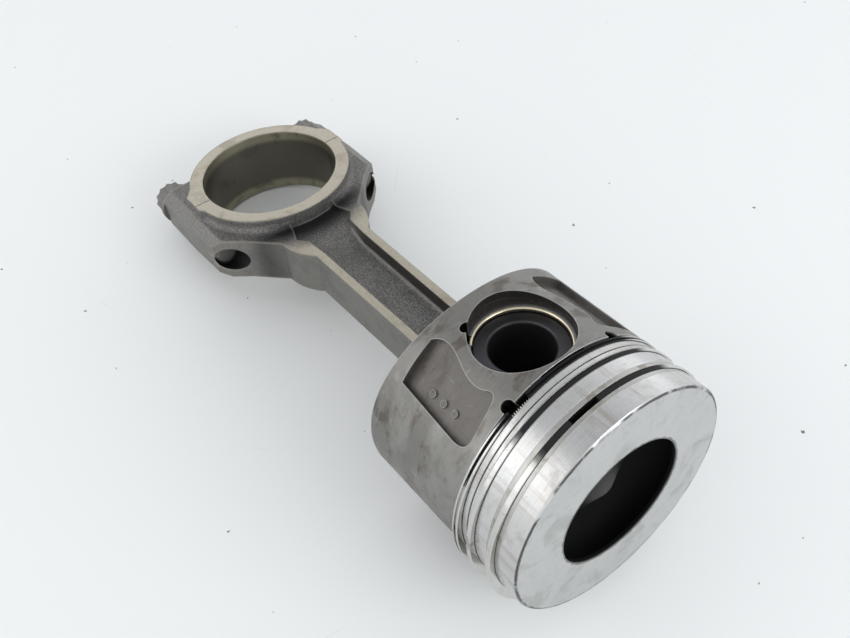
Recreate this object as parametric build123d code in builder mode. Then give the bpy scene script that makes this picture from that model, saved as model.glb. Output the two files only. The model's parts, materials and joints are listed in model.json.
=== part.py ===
from build123d import *
from math import asin, atan2, cos, degrees, radians, sin, sqrt, tan
import os

# A diesel engine's piston on its connecting rod, lying on its side. Millimetres.
#
# Every piece is drawn in the engine's own layout: the wrist pin's centre is the origin, +X runs up
# the cylinder to the crown, +Z runs along the wrist pin, and the rod hangs straight down -X. The
# last section lays the whole assembly down, so that it rests on the skirt and on the big end.
# Angles round the cylinder are counted from the top of the pin axis (+Z) towards -Y.

# Cylinder and crown
bore_diameter = 83.0
skirt_radius = bore_diameter / 2
land_relief = 0.45
crown_chamfer = 0.6
bowl_radius = 22.9
bowl_depth = 13.5
bowl_undercut = 1.7
bowl_undercut_depth = 8.4
bowl_lip = 1.6
bowl_floor_radius = 17.5
dome_depth = 5.8
dome_radius = 4.0
dome_round = 1.0
crown_wall = 6.0
crown_gap = 1.9

# Rings and grooves: how far each groove's upper side lies below the crown, and its width
top_groove_depth = 8.3
top_groove_width = 2.1
second_groove_depth = 16.9
second_groove_width = 1.8
oil_groove_depth = 22.6
oil_groove_width = 2.5
groove_reach = 4.6
ring_side_clearance = 0.1
ring_thickness = 3.4
ring_edge = 0.15
ring_spring_out = 1.6
ring_hang = 2.3
carrier_depth = 7.0
carrier_width = 4.9
carrier_wall = 2.7
carrier_slant = 0.6
scribe_depth = 20.2
scribe_width = 0.4
rail_width = 0.7
channel_reach = 0.8
coil_radius = 0.9
coil_wall = 0.35
latch_wire_radius = 0.35
slot_count = 12
slot_length = 6.0
slot_height = 0.6

# Angles round the cylinder of the ring gaps and of the coil spring's joint
top_ring_gap = (3.0, 16.3)
second_ring_gap = (186.0, 192.0)
oil_ring_gap = (19.0, 28.3)
coil_joint = 203.6
coil_joint_gap = 1.0
latch_wire_arc = 40.0

# Skirt and bosses
skirt_drop_pin_side = 20.8
skirt_drop_thrust_side = 25.8
skirt_wall = 4.2
belt_wall = 5.0
cavity_blend = 5.0
belt_draft = 1.0
register_depth = 3.0
register_reach = 1.0
pocket_wall = 3.6
pocket_depth = 2.2
pocket_below_pin = 17.6
pocket_above_pin = 13.0
pocket_thrust_angle = 52.5
pocket_shoulder = 5.0
pocket_waist_rise = 3.5
pocket_waist_swing = 2.2
pocket_draft = 0.4
pocket_foot_draft = 1.8
boss_wall = 6.0
boss_land = 3.8
drain_radius = 2.1
drain_angle = 28.3
drain_inset = 0.6
pip_radius = 1.2
pip_height = 0.6
pip_spacing = 5.0
pip_offset = 3.5

# Wrist pin and circlips
pin_diameter = 30.0
pin_bore_diameter = 20.4
pin_edge = 0.6
pin_mouth = 0.5
pin_float = 0.15
running_clearance = 0.02
circlip_wire = 1.6
circlip_groove_clearance = 0.05
circlip_inset = 7.85
circlip_seat = 0.25
circlip_opening = 60.0
circlip_opening_middle = 100.0
boss_mouth = 1.0
boss_mouth_depth = 0.2
notch_radius = 1.8
notch_angle = 136.7
notch_offset = 0.3

# Connecting rod
rod_length = 157.0
rod_width = 28.4
side_clearance = 0.4
bush_wall = 2.0
small_end_wall = 3.5
bush_edge = 0.5
shank_width_small_end = 21.9
shank_width_big_end = 24.3
shank_thickness = 18.4
forging_radius = 2.5
flange_width = 3.1
web_thickness = 5.6
housing_radius = 27.7
thrust_face_wall = 5.4
thrust_pad_height = 1.2
thrust_pad_rod_side = 3.0
thrust_pad_cap_side = 8.0
trough_start = 6.0
trough_crown = 4.0
trough_fillet = 2.0
ramp_rise = 6.0
ramp_length = 22.0
ramp_flare = 3.8
ramp_flare_run = 7.7
ramp_flare_rise = 4.5
ramp_knee_run = 4.0
ramp_knee = 0.7
ramp_run_out = 6.0
ramp_run_out_flare = 1.6
flank_angle = 41.5
flank_blend = 23.5
flank_bend_x = 8.9
flank_bend_y = 10.0
bolt_offset = 33.4
bolt_radius = 4.5
bolt_clearance = 0.05
bolt_mouth_radius = 5.3
bolt_mouth_reach = 6.0
ear_wall = 5.2
ear_bulge = 1.0
ear_edge_thickness = 12.0
ear_edge_width = 4.6
ear_reach_rod = 17.6
ear_reach_cap = 25.0
cap_wall = 7.8
balance_pad_width = 6.0
balance_pad_reach = 4.5
balance_pad_step = 1.0
bolt_flange_radius = 7.8
bolt_flange_height = 2.4
bolt_head_radius = 7.2
bolt_head_height = 6.2
bolt_flange_edge = 0.7
bolt_tip_edge = 0.8
seat_clearance = 0.6
bolt_engagement = 17.0

# Worked out from the sizes above
pin_radius = pin_diameter / 2
bush_radius = pin_radius + running_clearance + bush_wall
small_end_radius = bush_radius + small_end_wall
underside = small_end_radius + crown_gap
crown = underside + crown_wall + bowl_depth
groove_root = skirt_radius - groove_reach
land_radius = skirt_radius - land_relief
ring_radius = skirt_radius + ring_spring_out
ring_bore = ring_radius - ring_thickness
skirt_top = crown - oil_groove_depth - oil_groove_width
cavity_radius = skirt_radius - skirt_wall
belt_cavity_radius = groove_root - belt_wall
half_gap = rod_width / 2 + side_clearance
boss_hole_radius = pin_radius + running_clearance
boss_radius = pin_radius + boss_wall
circlip_height = skirt_radius - circlip_inset
circlip_radius = pin_radius + circlip_seat
pin_half_length = circlip_height - circlip_wire / 2 - pin_float
thrust_face_radius = housing_radius + thrust_face_wall
ear_half_width = bolt_offset + ear_wall


def section_plane(angle, drop=0.0):
    """The plane through the cylinder's axis at an angle: local X up the axis, local Y outwards."""
    turn = radians(angle)
    return Plane(origin=(0, 0, -drop), x_dir=(1, 0, 0), z_dir=(0, -cos(turn), -sin(turn)))


def facing_plane(height, angle, distance):
    """A plane that faces outwards: local X up the cylinder, local Y round it towards +Y."""
    turn = radians(angle)
    outwards = (0, -sin(turn), cos(turn))
    centre = (height, distance * outwards[1], distance * outwards[2])
    return Plane(origin=centre, x_dir=(1, 0, 0), z_dir=outwards)


# ---------------------------------------------------------------- piston body
# The hollow inside the skirt: round at the thrust sides, flat behind the four side pockets, and
# narrowed to the rod's slot between the two pin bosses.
pocket_boss_angle = degrees(asin((pin_radius + boss_mouth + boss_land) / skirt_radius))
pocket_angle = (pocket_boss_angle + pocket_thrust_angle) / 2
pocket_half_angle = (pocket_thrust_angle - pocket_boss_angle) / 2
pocket_half_width = skirt_radius * sin(radians(pocket_half_angle))
pocket_floor = skirt_radius * cos(radians(pocket_half_angle)) - pocket_depth
open_end = -2 * skirt_drop_thrust_side

with BuildPart() as cavity:
    with BuildSketch(Plane.XY):
        with BuildLine():
            Polyline(
                (open_end, 0),
                (open_end, cavity_radius),
                (skirt_top - 2 * cavity_blend, cavity_radius),
                (skirt_top - cavity_blend / 2, belt_cavity_radius),
                (underside - cavity_blend, belt_cavity_radius - belt_draft),
                (underside, belt_cavity_radius - cavity_blend),
                (underside, 0),
                close=True,
            )
        make_face()
    revolve(axis=Axis.X)
    diamond_y = (pocket_floor - pocket_wall) / sin(radians(pocket_angle))
    diamond_z = (pocket_floor - pocket_wall) / cos(radians(pocket_angle))
    with BuildSketch(Plane.YZ.offset(open_end)):
        Polygon((diamond_y, 0), (0, diamond_z), (-diamond_y, 0), (0, -diamond_z), align=None)
    extrude(amount=underside - open_end, mode=Mode.INTERSECT)
    for side in (half_gap, -skirt_radius):
        with BuildSketch(Plane.XY.offset(side)):
            Circle(boss_radius)
            with Locations((underside / 2, 0)):
                Rectangle(underside, 2 * boss_radius)
        extrude(amount=skirt_radius - half_gap, mode=Mode.SUBTRACT)

# Four shallow pockets in the skirt, one on each side of each boss. The edge beside the boss swings
# in below the pin, the crown end is round, and the open end is a straight step.
with BuildPart() as pockets:
    w = pocket_half_width
    with BuildSketch(facing_plane(0, -pocket_angle, pocket_floor)):
        with BuildLine():
            boss_foot = (-pocket_below_pin, -w)
            boss_top = (pocket_above_pin - pocket_shoulder, pocket_draft - w)
            boss_side = (-pocket_waist_swing, pocket_draft - w)
            boss_waist = (pocket_waist_rise - pocket_below_pin, -w - pocket_waist_swing)
            crown_end = (pocket_above_pin, pocket_draft)
            thrust_top = (pocket_above_pin - pocket_shoulder, w + pocket_draft)
            thrust_base = (-pocket_below_pin, w - pocket_foot_draft)
            edge = Spline(boss_foot, boss_waist, boss_side, boss_top)
            Spline(boss_top, crown_end, thrust_top, tangents=(edge % 1, (-1, 0)))
            Line(thrust_top, thrust_base)
            Line(thrust_base, boss_foot)
        make_face()
    extrude(amount=skirt_radius)
    mirror(about=Plane.XZ)
    mirror(about=Plane.XY)

sag = skirt_drop_thrust_side - skirt_drop_pin_side
skirt_arch = (skirt_radius**2 + sag**2) / (2 * sag)

with BuildPart() as piston_body:
    # Outer shape with its grooves, turned in one profile
    with BuildSketch(Plane.XY):
        with BuildLine():
            top_groove = crown - top_groove_depth
            carrier_top = crown - carrier_depth
            carrier_foot = carrier_top - carrier_width
            second_groove = crown - second_groove_depth
            oil_groove = crown - oil_groove_depth
            scribe = crown - scribe_depth
            Polyline(
                (-skirt_drop_thrust_side, 0),
                (-skirt_drop_thrust_side, skirt_radius),
                (skirt_top, skirt_radius),
                (skirt_top, groove_root),
                (oil_groove, groove_root),
                (oil_groove, land_radius),
                (scribe - scribe_width, land_radius),
                (scribe - scribe_width / 2, land_radius - scribe_width),
                (scribe, land_radius),
                (second_groove - second_groove_width, land_radius),
                (second_groove - second_groove_width, groove_root),
                (second_groove, groove_root),
                (second_groove, land_radius),
                (carrier_foot, land_radius),
                (carrier_foot + carrier_slant, groove_root - carrier_wall),
                (carrier_top - carrier_slant, groove_root - carrier_wall),
                (carrier_top, land_radius),
                (crown - crown_chamfer, land_radius),
                (crown, land_radius - crown_chamfer),
                (crown, 0),
                close=True,
            )
        make_face()
    revolve(axis=Axis.X)

    # Combustion bowl: a lip, an undercut ring-shaped floor and a dome in the middle
    with BuildSketch(Plane.XY):
        with BuildLine():
            above = crown + bowl_lip
            lip = (crown - bowl_lip, bowl_radius)
            belly = (crown - bowl_undercut_depth, bowl_radius + bowl_undercut)
            bowl_floor = (crown - bowl_depth, bowl_floor_radius)
            dome_top = crown - dome_depth
            dome_side = (dome_top - dome_round, dome_radius)
            dome_crest = (dome_top, dome_radius / 4)
            Polyline((above, 0), (above, bowl_radius), lip)
            ThreePointArc(lip, belly, bowl_floor)
            Line(bowl_floor, dome_side)
            ThreePointArc(dome_side, (dome_top - dome_round / 4, 0.6 * dome_radius), dome_crest)
            Polyline(dome_crest, (dome_top, 0), (above, 0))
        make_face()
    revolve(axis=Axis.X, mode=Mode.SUBTRACT)

    # Inside of the skirt, with the turned register round its open end
    add(cavity.part, mode=Mode.SUBTRACT)
    with BuildSketch(Plane.YZ.offset(-skirt_drop_thrust_side)):
        Circle(cavity_radius + register_reach)
        Circle(cavity_radius - register_reach, mode=Mode.SUBTRACT)
    extrude(amount=register_depth, mode=Mode.SUBTRACT)

    # Skirt's lower edge arches up towards the pin sides
    with BuildSketch(Plane.XY.offset(-skirt_radius - 1)):
        with Locations((-skirt_drop_pin_side - skirt_arch, 0)):
            Circle(skirt_arch)
    extrude(amount=2 * skirt_radius + 2, mode=Mode.SUBTRACT)

    add(pockets.part, mode=Mode.SUBTRACT)

    # Pin hole, its wider mouths, the circlip grooves and the notch that frees each circlip
    Cylinder(boss_hole_radius, 3 * skirt_radius, mode=Mode.SUBTRACT)
    mouth = circlip_height + circlip_wire / 2 + boss_mouth_depth
    notch_foot = circlip_height - notch_radius - boss_mouth_depth
    for side in (1, -1):
        with BuildSketch(Plane.XY.offset(side * mouth)):
            Circle(pin_radius + boss_mouth)
        extrude(amount=side * skirt_radius, mode=Mode.SUBTRACT)
        with BuildSketch(Plane.XY.offset(side * notch_foot)):
            with Locations(Location((0, 0), -notch_angle)):
                with Locations((pin_radius + boss_mouth + notch_offset, 0)):
                    Circle(notch_radius)
        extrude(amount=side * skirt_radius, mode=Mode.SUBTRACT)
        with BuildSketch(Plane.XZ):
            with Locations((circlip_radius, side * circlip_height)):
                Circle(circlip_wire / 2 + circlip_groove_clearance)
        revolve(axis=Axis.Z, mode=Mode.SUBTRACT)

    # Oil drain notches in the lower side of the oil groove
    for angle in (drain_angle, -drain_angle, 180 - drain_angle, 180 + drain_angle):
        with BuildSketch(facing_plane(skirt_top - drain_inset, angle, groove_root - drain_inset)):
            Circle(drain_radius)
        extrude(amount=skirt_radius, mode=Mode.SUBTRACT)

    # Three plain pips on the floor of one pocket, where the foundry marks a casting
    with BuildSketch(facing_plane(0, pocket_angle, pocket_floor)):
        with Locations((-pip_spacing / 2, -pip_offset)):
            with GridLocations(pip_spacing, pip_spacing, 3, 1):
                Circle(pip_radius)
    extrude(amount=pip_height)

# ---------------------------------------------------------------- ring carrier
with BuildPart() as ring_carrier:
    with BuildSketch(Plane.XY):
        Polygon(
            (carrier_foot, land_radius),
            (carrier_foot + carrier_slant, groove_root - carrier_wall),
            (carrier_top - carrier_slant, groove_root - carrier_wall),
            (carrier_top, land_radius),
            (top_groove, land_radius),
            (top_groove, groove_root),
            (top_groove - top_groove_width, groove_root),
            (top_groove - top_groove_width, land_radius),
            align=None,
        )
    revolve(axis=Axis.X)


# ---------------------------------------------------------------- piston rings
def open_ring(groove_top, groove_width, bore, gap):
    """A piston ring out of its cylinder: sprung open, with a gap, hanging down in its groove."""
    gap_from = radians(gap[0])
    gap_to = radians(gap[1])
    width = groove_width - ring_side_clearance
    foot = groove_top - groove_width + ring_side_clearance / 2
    reach = 2 * ring_radius
    with BuildPart() as ring:
        with BuildSketch(Plane.YZ.offset(foot)):
            with Locations((0, -ring_hang)):
                Circle(ring_radius)
                Circle(bore, mode=Mode.SUBTRACT)
                Polygon(
                    (0, 0),
                    (-reach * sin(gap_from), reach * cos(gap_from)),
                    (-reach * sin(gap_to), reach * cos(gap_to)),
                    align=None,
                    mode=Mode.SUBTRACT,
                )
        extrude(amount=width)
        rims = ring.edges().filter_by(GeomType.CIRCLE).filter_by(lambda e: e.radius > bore + ring_edge)
        chamfer(rims, ring_edge)
    return ring


top_compression_ring = open_ring(top_groove, top_groove_width, ring_bore, top_ring_gap)
second_compression_ring = open_ring(second_groove, second_groove_width, ring_bore, second_ring_gap)

# The oil ring has two rails with a channel between them, drain slots through the channel, and a
# round seat inside for the coil spring that pushes it out.
oil_ring_bore = ring_bore + coil_radius
oil_ring_middle = skirt_top + oil_groove_width / 2
ring_axis = Axis((0, 0, -ring_hang), (1, 0, 0))
plain_oil_ring = open_ring(oil_groove, oil_groove_width, oil_ring_bore, oil_ring_gap)
with BuildPart() as oil_control_ring:
    add(plain_oil_ring.part)
    with BuildSketch(Plane.YZ.offset(oil_ring_middle - slot_height / 2)):
        with Locations((0, -ring_hang)):
            with PolarLocations(ring_radius, slot_count, start_angle=oil_ring_gap[1]):
                Rectangle(2 * (ring_radius - oil_ring_bore), slot_length)
    extrude(amount=slot_height, mode=Mode.SUBTRACT)
    channel = oil_groove_width - ring_side_clearance - 2 * rail_width
    with BuildSketch(Plane.YZ.offset(oil_ring_middle - channel / 2)):
        with Locations((0, -ring_hang)):
            Circle(ring_radius + channel_reach)
            Circle(ring_radius - channel_reach, mode=Mode.SUBTRACT)
    extrude(amount=channel, mode=Mode.SUBTRACT)
    with BuildSketch(section_plane(sum(oil_ring_gap) / 2, ring_hang)):
        with Locations((oil_ring_middle, oil_ring_bore)):
            Circle(coil_radius + running_clearance)
    revolve(axis=ring_axis, mode=Mode.SUBTRACT)

with BuildPart() as oil_ring_coil_spring:
    with BuildSketch(section_plane(coil_joint + coil_joint_gap / 2, ring_hang)):
        with Locations((oil_ring_middle, oil_ring_bore)):
            Circle(coil_radius)
            Circle(coil_radius - coil_wall, mode=Mode.SUBTRACT)
    revolve(axis=ring_axis, revolution_arc=360 - coil_joint_gap)

with BuildPart() as oil_ring_latch_wire:
    with BuildSketch(section_plane(coil_joint + latch_wire_arc / 2, ring_hang)):
        with Locations((oil_ring_middle, oil_ring_bore)):
            Circle(latch_wire_radius)
    revolve(axis=ring_axis, revolution_arc=-latch_wire_arc)

# ---------------------------------------------------------------- wrist pin and circlips
with BuildPart() as wrist_pin:
    Cylinder(pin_radius, 2 * pin_half_length)
    chamfer(wrist_pin.edges().filter_by(GeomType.CIRCLE), pin_edge)
    Cylinder(pin_bore_diameter / 2, 2 * pin_half_length, mode=Mode.SUBTRACT)
    rims = wrist_pin.edges().filter_by(GeomType.CIRCLE)
    rims = rims.filter_by(lambda e: e.radius < pin_bore_diameter / 2 + pin_mouth)
    chamfer(rims, pin_mouth)


def circlip(height):
    """A round wire ring sprung into its groove, open on the side towards -Y."""
    start = radians(circlip_opening / 2 - circlip_opening_middle)
    outwards = (cos(start), sin(start), 0)
    across = (sin(start), -cos(start), 0)
    with BuildPart() as clip:
        with BuildSketch(Plane(origin=(0, 0, 0), x_dir=outwards, z_dir=across)):
            with Locations((circlip_radius, height)):
                Circle(circlip_wire / 2)
        revolve(axis=Axis.Z, revolution_arc=360 - circlip_opening)
    return clip


circlip_upper = circlip(circlip_height)
circlip_lower = circlip(-circlip_height)

# ---------------------------------------------------------------- connecting rod and cap
shank_slope = (shank_width_big_end - shank_width_small_end) / 2 / (rod_length - housing_radius)


def shank_half_width(x):
    """Half the shank's width at a distance below the pin."""
    return shank_width_small_end / 2 - shank_slope * x


# Where the shank's side bends out into the flank that carries the bolt's mouth
flank_turn = radians(flank_angle)
ear_corner = -rod_length + ear_reach_rod
flank_bend = (ear_corner + flank_bend_x, ear_half_width - flank_bend_y)
flank_foot_y = shank_width_big_end / 2 + flank_blend * (1 - cos(flank_turn))
flank_foot = (flank_bend[0] + (flank_bend[1] - flank_foot_y) / tan(flank_turn), flank_foot_y)
blend_start_x = flank_foot[0] + flank_blend * sin(flank_turn)
blend_start = (blend_start_x, shank_half_width(blend_start_x))
web = web_thickness / 2
ring_side = -rod_length + thrust_face_radius

with BuildPart() as trough:
    # Hollow of the H section above the web. It flares with the flanges, and its floor climbs to the
    # thrust face's wall.
    near = -small_end_radius - trough_start
    near_half = shank_half_width(near) - flange_width
    turn = ring_side + ramp_length
    turn_half = shank_half_width(turn) - flange_width
    knee = ring_side + ramp_flare_run + ramp_knee_run
    flare = ring_side + ramp_flare_run
    run_out = ring_side - ramp_run_out
    with BuildSketch(Plane.XY):
        with BuildLine():
            ThreePointArc((near, -near_half), (near + trough_crown, 0), (near, near_half))
            Polyline(
                (near, near_half),
                (turn, turn_half),
                (knee, turn_half + ramp_knee),
                (flare, turn_half + ramp_flare),
                (flare - ramp_run_out, turn_half + ramp_run_out_flare),
                (run_out, turn_half),
                (run_out, -turn_half),
                (flare - ramp_run_out, -turn_half - ramp_run_out_flare),
                (flare, -turn_half - ramp_flare),
                (knee, -turn_half - ramp_knee),
                (turn, -turn_half),
                (near, -near_half),
            )
        make_face()
    extrude(amount=rod_width)
    with BuildSketch(Plane.XZ):
        Polygon(
            (0, web),
            (turn, web),
            (flare, web + ramp_flare_rise),
            (run_out, web + ramp_rise),
            (run_out, rod_width),
            (0, rod_width),
            align=None,
        )
    extrude(amount=rod_width, both=True, mode=Mode.INTERSECT)
    floor_edges = trough.edges().filter_by(lambda e: e.bounding_box().max.Z < shank_thickness / 2 - web / 2)
    side_edges = floor_edges.filter_by(lambda e: e.center().X > knee and abs(e.center().Y) > web)
    fillet(side_edges, trough_fillet)
    mirror(about=Plane.XY)


def rod_outline():
    """Plan of the rod down to the split, one half drawn and mirrored."""
    with BuildSketch() as plan:
        with BuildLine():
            Polyline((0, 0), (0, shank_half_width(0)), blend_start)
            RadiusArc(blend_start, flank_foot, -flank_blend)
            Polyline(
                flank_foot,
                flank_bend,
                (ear_corner, ear_half_width),
                (-rod_length, ear_half_width + ear_bulge),
                (-rod_length, 0),
                (0, 0),
            )
        make_face()
        mirror(about=Plane.XZ)
    return plan.sketch


def ear_section():
    """Cross-section through both ears: full thickness inside, thinner along the outer edges."""
    edge = ear_half_width + ear_bulge
    flat = edge - ear_edge_width
    with BuildSketch() as section:
        Polygon(
            (edge, ear_edge_thickness / 2),
            (flat, shank_thickness / 2),
            (-flat, shank_thickness / 2),
            (-edge, ear_edge_thickness / 2),
            (-edge, -ear_edge_thickness / 2),
            (-flat, -shank_thickness / 2),
            (flat, -shank_thickness / 2),
            (edge, -ear_edge_thickness / 2),
            align=None,
        )
    return section.sketch


def thrust_plan(rod_side):
    """The thrust face on one side of the split: half a disc with a low pad at each end."""
    away = 1 if rod_side else -1
    flat = thrust_pad_rod_side if rod_side else thrust_pad_cap_side
    top = thrust_face_radius + thrust_pad_height
    with BuildSketch() as plan:
        with Locations((-rod_length, 0)):
            Circle(thrust_face_radius)
        Polygon(
            (-rod_length, top),
            (-rod_length + away * flat, top),
            (-rod_length + away * (flat + 3 * thrust_pad_height), top - 2.5 * thrust_pad_height),
            (-rod_length + away * (flat + 3 * thrust_pad_height), 2.5 * thrust_pad_height - top),
            (-rod_length + away * flat, -top),
            (-rod_length, -top),
            align=None,
        )
        with Locations((-rod_length, 0)):
            side = Align.MAX if rod_side else Align.MIN
            Rectangle(2 * top, 2 * top, align=(side, Align.CENTER), mode=Mode.SUBTRACT)
    return plan.sketch


with BuildPart() as thrust_foot:
    # Rounded foot between the thrust face's wall and the forging, above and below
    with BuildSketch(Plane.XZ):
        with BuildLine():
            foot = shank_thickness / 2
            wall = -rod_length + thrust_face_radius
            Polyline(
                (wall, foot + forging_radius),
                (wall - forging_radius, foot + forging_radius),
                (wall - forging_radius, foot - forging_radius),
                (wall + forging_radius, foot - forging_radius),
                (wall + forging_radius, foot),
            )
            round_in = forging_radius * (1 - sqrt(0.5))
            ThreePointArc(
                (wall + forging_radius, foot),
                (wall + round_in, foot + round_in),
                (wall, foot + forging_radius),
            )
        make_face()
    revolve(axis=Axis((-rod_length, 0, 0), (0, 0, 1)))
    mirror(about=Plane.XY)

with BuildPart() as connecting_rod:
    with BuildSketch(Plane.XY):
        add(rod_outline())
    extrude(amount=shank_thickness / 2, both=True)
    with BuildSketch(Plane.YZ.offset(-rod_length)):
        add(ear_section())
    extrude(amount=rod_length, mode=Mode.INTERSECT)
    with BuildSketch(Plane.XY):
        Circle(small_end_radius)
    extrude(amount=rod_width / 2, both=True)
    add(thrust_foot.part)
    split(bisect_by=Plane.YZ.offset(-rod_length), keep=Keep.TOP)
    add(trough.part, mode=Mode.SUBTRACT)
    with BuildSketch(Plane.XY):
        add(thrust_plan(True))
    extrude(amount=rod_width / 2, both=True)
    # Bores
    Cylinder(bush_radius, 2 * rod_width, mode=Mode.SUBTRACT)
    with Locations((-rod_length, 0, 0)):
        Cylinder(housing_radius, 2 * rod_width, mode=Mode.SUBTRACT)
    for side in (1, -1):
        with BuildSketch(Plane.YZ.offset(-rod_length)):
            with Locations((side * bolt_offset, 0)):
                Circle(bolt_radius + bolt_clearance)
        extrude(amount=2 * rod_width, mode=Mode.SUBTRACT)
        with BuildSketch(Plane.YZ.offset(ear_corner - bolt_mouth_reach + flank_bend_x / 2)):
            with Locations((side * bolt_offset, 0)):
                Circle(bolt_mouth_radius)
        extrude(amount=2 * rod_width, mode=Mode.SUBTRACT)

with BuildPart() as small_end_bush:
    Cylinder(bush_radius, rod_width)
    Cylinder(pin_radius + running_clearance, rod_width, mode=Mode.SUBTRACT)
    rims = small_end_bush.edges().filter_by(GeomType.CIRCLE)
    chamfer(rims.filter_by(lambda e: e.radius < bush_radius - bush_edge), bush_edge)

cap_seat = -rod_length - ear_reach_cap
with BuildPart() as rod_cap:
    with BuildSketch(Plane.XY):
        with Locations((-rod_length, 0)):
            Circle(housing_radius + cap_wall)
        with Locations((-rod_length, 0)):
            Rectangle(
                ear_reach_cap,
                2 * (ear_half_width + ear_bulge),
                align=(Align.MAX, Align.CENTER),
            )
    extrude(amount=shank_thickness / 2, both=True)
    with BuildSketch(Plane.YZ.offset(-rod_length)):
        add(ear_section())
    extrude(amount=-2 * rod_width, mode=Mode.INTERSECT)
    add(thrust_foot.part)
    split(bisect_by=Plane.YZ.offset(-rod_length), keep=Keep.BOTTOM)
    with BuildSketch(Plane.XY):
        with Locations((-rod_length - housing_radius - cap_wall - balance_pad_reach, 0)):
            Rectangle(cap_wall, balance_pad_width, align=(Align.MIN, Align.CENTER))
    extrude(amount=shank_thickness / 2 - balance_pad_step, both=True)
    with BuildSketch(Plane.XY):
        add(thrust_plan(False))
    extrude(amount=rod_width / 2, both=True)
    with Locations((-rod_length, 0, 0)):
        Cylinder(housing_radius, 2 * rod_width, mode=Mode.SUBTRACT)
    # Bolt holes, and flat seats for the bolt heads cut into the strap
    for side in (1, -1):
        with BuildSketch(Plane.YZ.offset(cap_seat)):
            with Locations((side * bolt_offset, 0)):
                Circle(bolt_radius + 2 * bolt_clearance)
        extrude(amount=ear_reach_cap, mode=Mode.SUBTRACT)
        with BuildSketch(Plane.YZ.offset(cap_seat)):
            with Locations((side * bolt_offset, 0)):
                Circle(bolt_flange_radius + seat_clearance)
        extrude(amount=-housing_radius, mode=Mode.SUBTRACT)


def cap_bolt(side):
    """A flanged twelve-point bolt, its head against the cap and its end short of the rod's flank."""
    with BuildPart() as bolt:
        with BuildSketch(Plane.YZ.offset(cap_seat)):
            with Locations((side * bolt_offset, 0)):
                Circle(bolt_radius)
        extrude(amount=ear_reach_cap + bolt_engagement)
        chamfer(bolt.edges().filter_by(GeomType.CIRCLE).sort_by(Axis.X)[-1], bolt_tip_edge)
        with BuildSketch(Plane.YZ.offset(cap_seat)):
            with Locations((side * bolt_offset, 0)):
                Circle(bolt_flange_radius)
        extrude(amount=-bolt_flange_height)
        chamfer(bolt.edges().filter_by(GeomType.CIRCLE).sort_by(Axis.X)[0], bolt_flange_edge)
        with BuildSketch(Plane.YZ.offset(cap_seat - bolt_flange_height)):
            with Locations((side * bolt_offset, 0)):
                RegularPolygon(bolt_head_radius, 6)
                RegularPolygon(bolt_head_radius, 6, rotation=30)
        extrude(amount=-bolt_head_height)
    return bolt


cap_bolt_left = cap_bolt(1)
cap_bolt_right = cap_bolt(-1)

# ---------------------------------------------------------------- laying the assembly down
# It touches the flat at two points: the skirt's lower edge below the pin, and the far lower edge of
# the big end's thrust face. The line through them gives the lean.
big_end_reach = rod_length + thrust_face_radius
lean = atan2(skirt_radius - rod_width / 2, big_end_reach - skirt_drop_pin_side)

pieces = {
    "piston_body": piston_body,
    "ring_carrier": ring_carrier,
    "top_compression_ring": top_compression_ring,
    "second_compression_ring": second_compression_ring,
    "oil_control_ring": oil_control_ring,
    "oil_ring_coil_spring": oil_ring_coil_spring,
    "oil_ring_latch_wire": oil_ring_latch_wire,
    "wrist_pin": wrist_pin,
    "circlip_upper": circlip_upper,
    "circlip_lower": circlip_lower,
    "connecting_rod": connecting_rod,
    "small_end_bush": small_end_bush,
    "rod_cap": rod_cap,
    "cap_bolt_left": cap_bolt_left,
    "cap_bolt_right": cap_bolt_right,
}
leaning = Location((0, 0, 0), (0, -degrees(lean), 0))
box = Compound([piece.part.moved(leaning) for piece in pieces.values()]).bounding_box()
shift = Location((-(box.min.X + box.max.X) / 2, -(box.min.Y + box.max.Y) / 2, -box.min.Z))
resting = shift * leaning

os.makedirs("parts", exist_ok=True)
for label, piece in pieces.items():
    piece.part.move(resting)
    piece.part.label = label
    export_step(piece.part, f"parts/{label}.step")

pin_centre = resting.position
print("pin centre", pin_centre, "lean", degrees(lean))
print("size", box.size)
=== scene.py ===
import json
import math

import bpy
import numpy as np
from mathutils import Matrix, Vector


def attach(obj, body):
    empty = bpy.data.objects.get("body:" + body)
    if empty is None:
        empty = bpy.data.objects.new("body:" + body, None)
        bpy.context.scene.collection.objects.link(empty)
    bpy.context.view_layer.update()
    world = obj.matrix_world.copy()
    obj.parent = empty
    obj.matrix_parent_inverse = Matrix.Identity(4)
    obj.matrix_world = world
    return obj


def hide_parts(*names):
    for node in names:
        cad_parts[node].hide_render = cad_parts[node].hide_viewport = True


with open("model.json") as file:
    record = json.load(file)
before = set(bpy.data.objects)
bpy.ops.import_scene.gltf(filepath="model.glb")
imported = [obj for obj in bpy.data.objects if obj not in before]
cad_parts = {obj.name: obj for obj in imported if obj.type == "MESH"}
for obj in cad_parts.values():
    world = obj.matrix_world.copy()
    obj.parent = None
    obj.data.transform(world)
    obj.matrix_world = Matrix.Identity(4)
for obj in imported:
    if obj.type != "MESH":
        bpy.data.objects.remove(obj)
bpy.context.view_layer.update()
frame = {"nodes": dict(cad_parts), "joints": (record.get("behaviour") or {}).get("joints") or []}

# ---------------------------------------------------------------- engine axes
# The assembly lies on its side, a little crown-up. Everything on it was turned or forged about the
# cylinder's axis and the wrist pin, so places are given in the engine's own axes: the wrist pin's
# centre is their origin, X runs up the cylinder, Z along the pin. They come from the rod's joint.
swing = next(joint for joint in frame["joints"] if joint["name"] == "rod_swing")
pin_centre = Vector(swing["pos_m"])
pin_axis = Vector(swing["axis"]).normalized()
crown_axis = Vector((pin_axis.z, 0.0, -pin_axis.x))
engine = Matrix((crown_axis, Vector((0, 1, 0)), pin_axis)).transposed()

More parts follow.
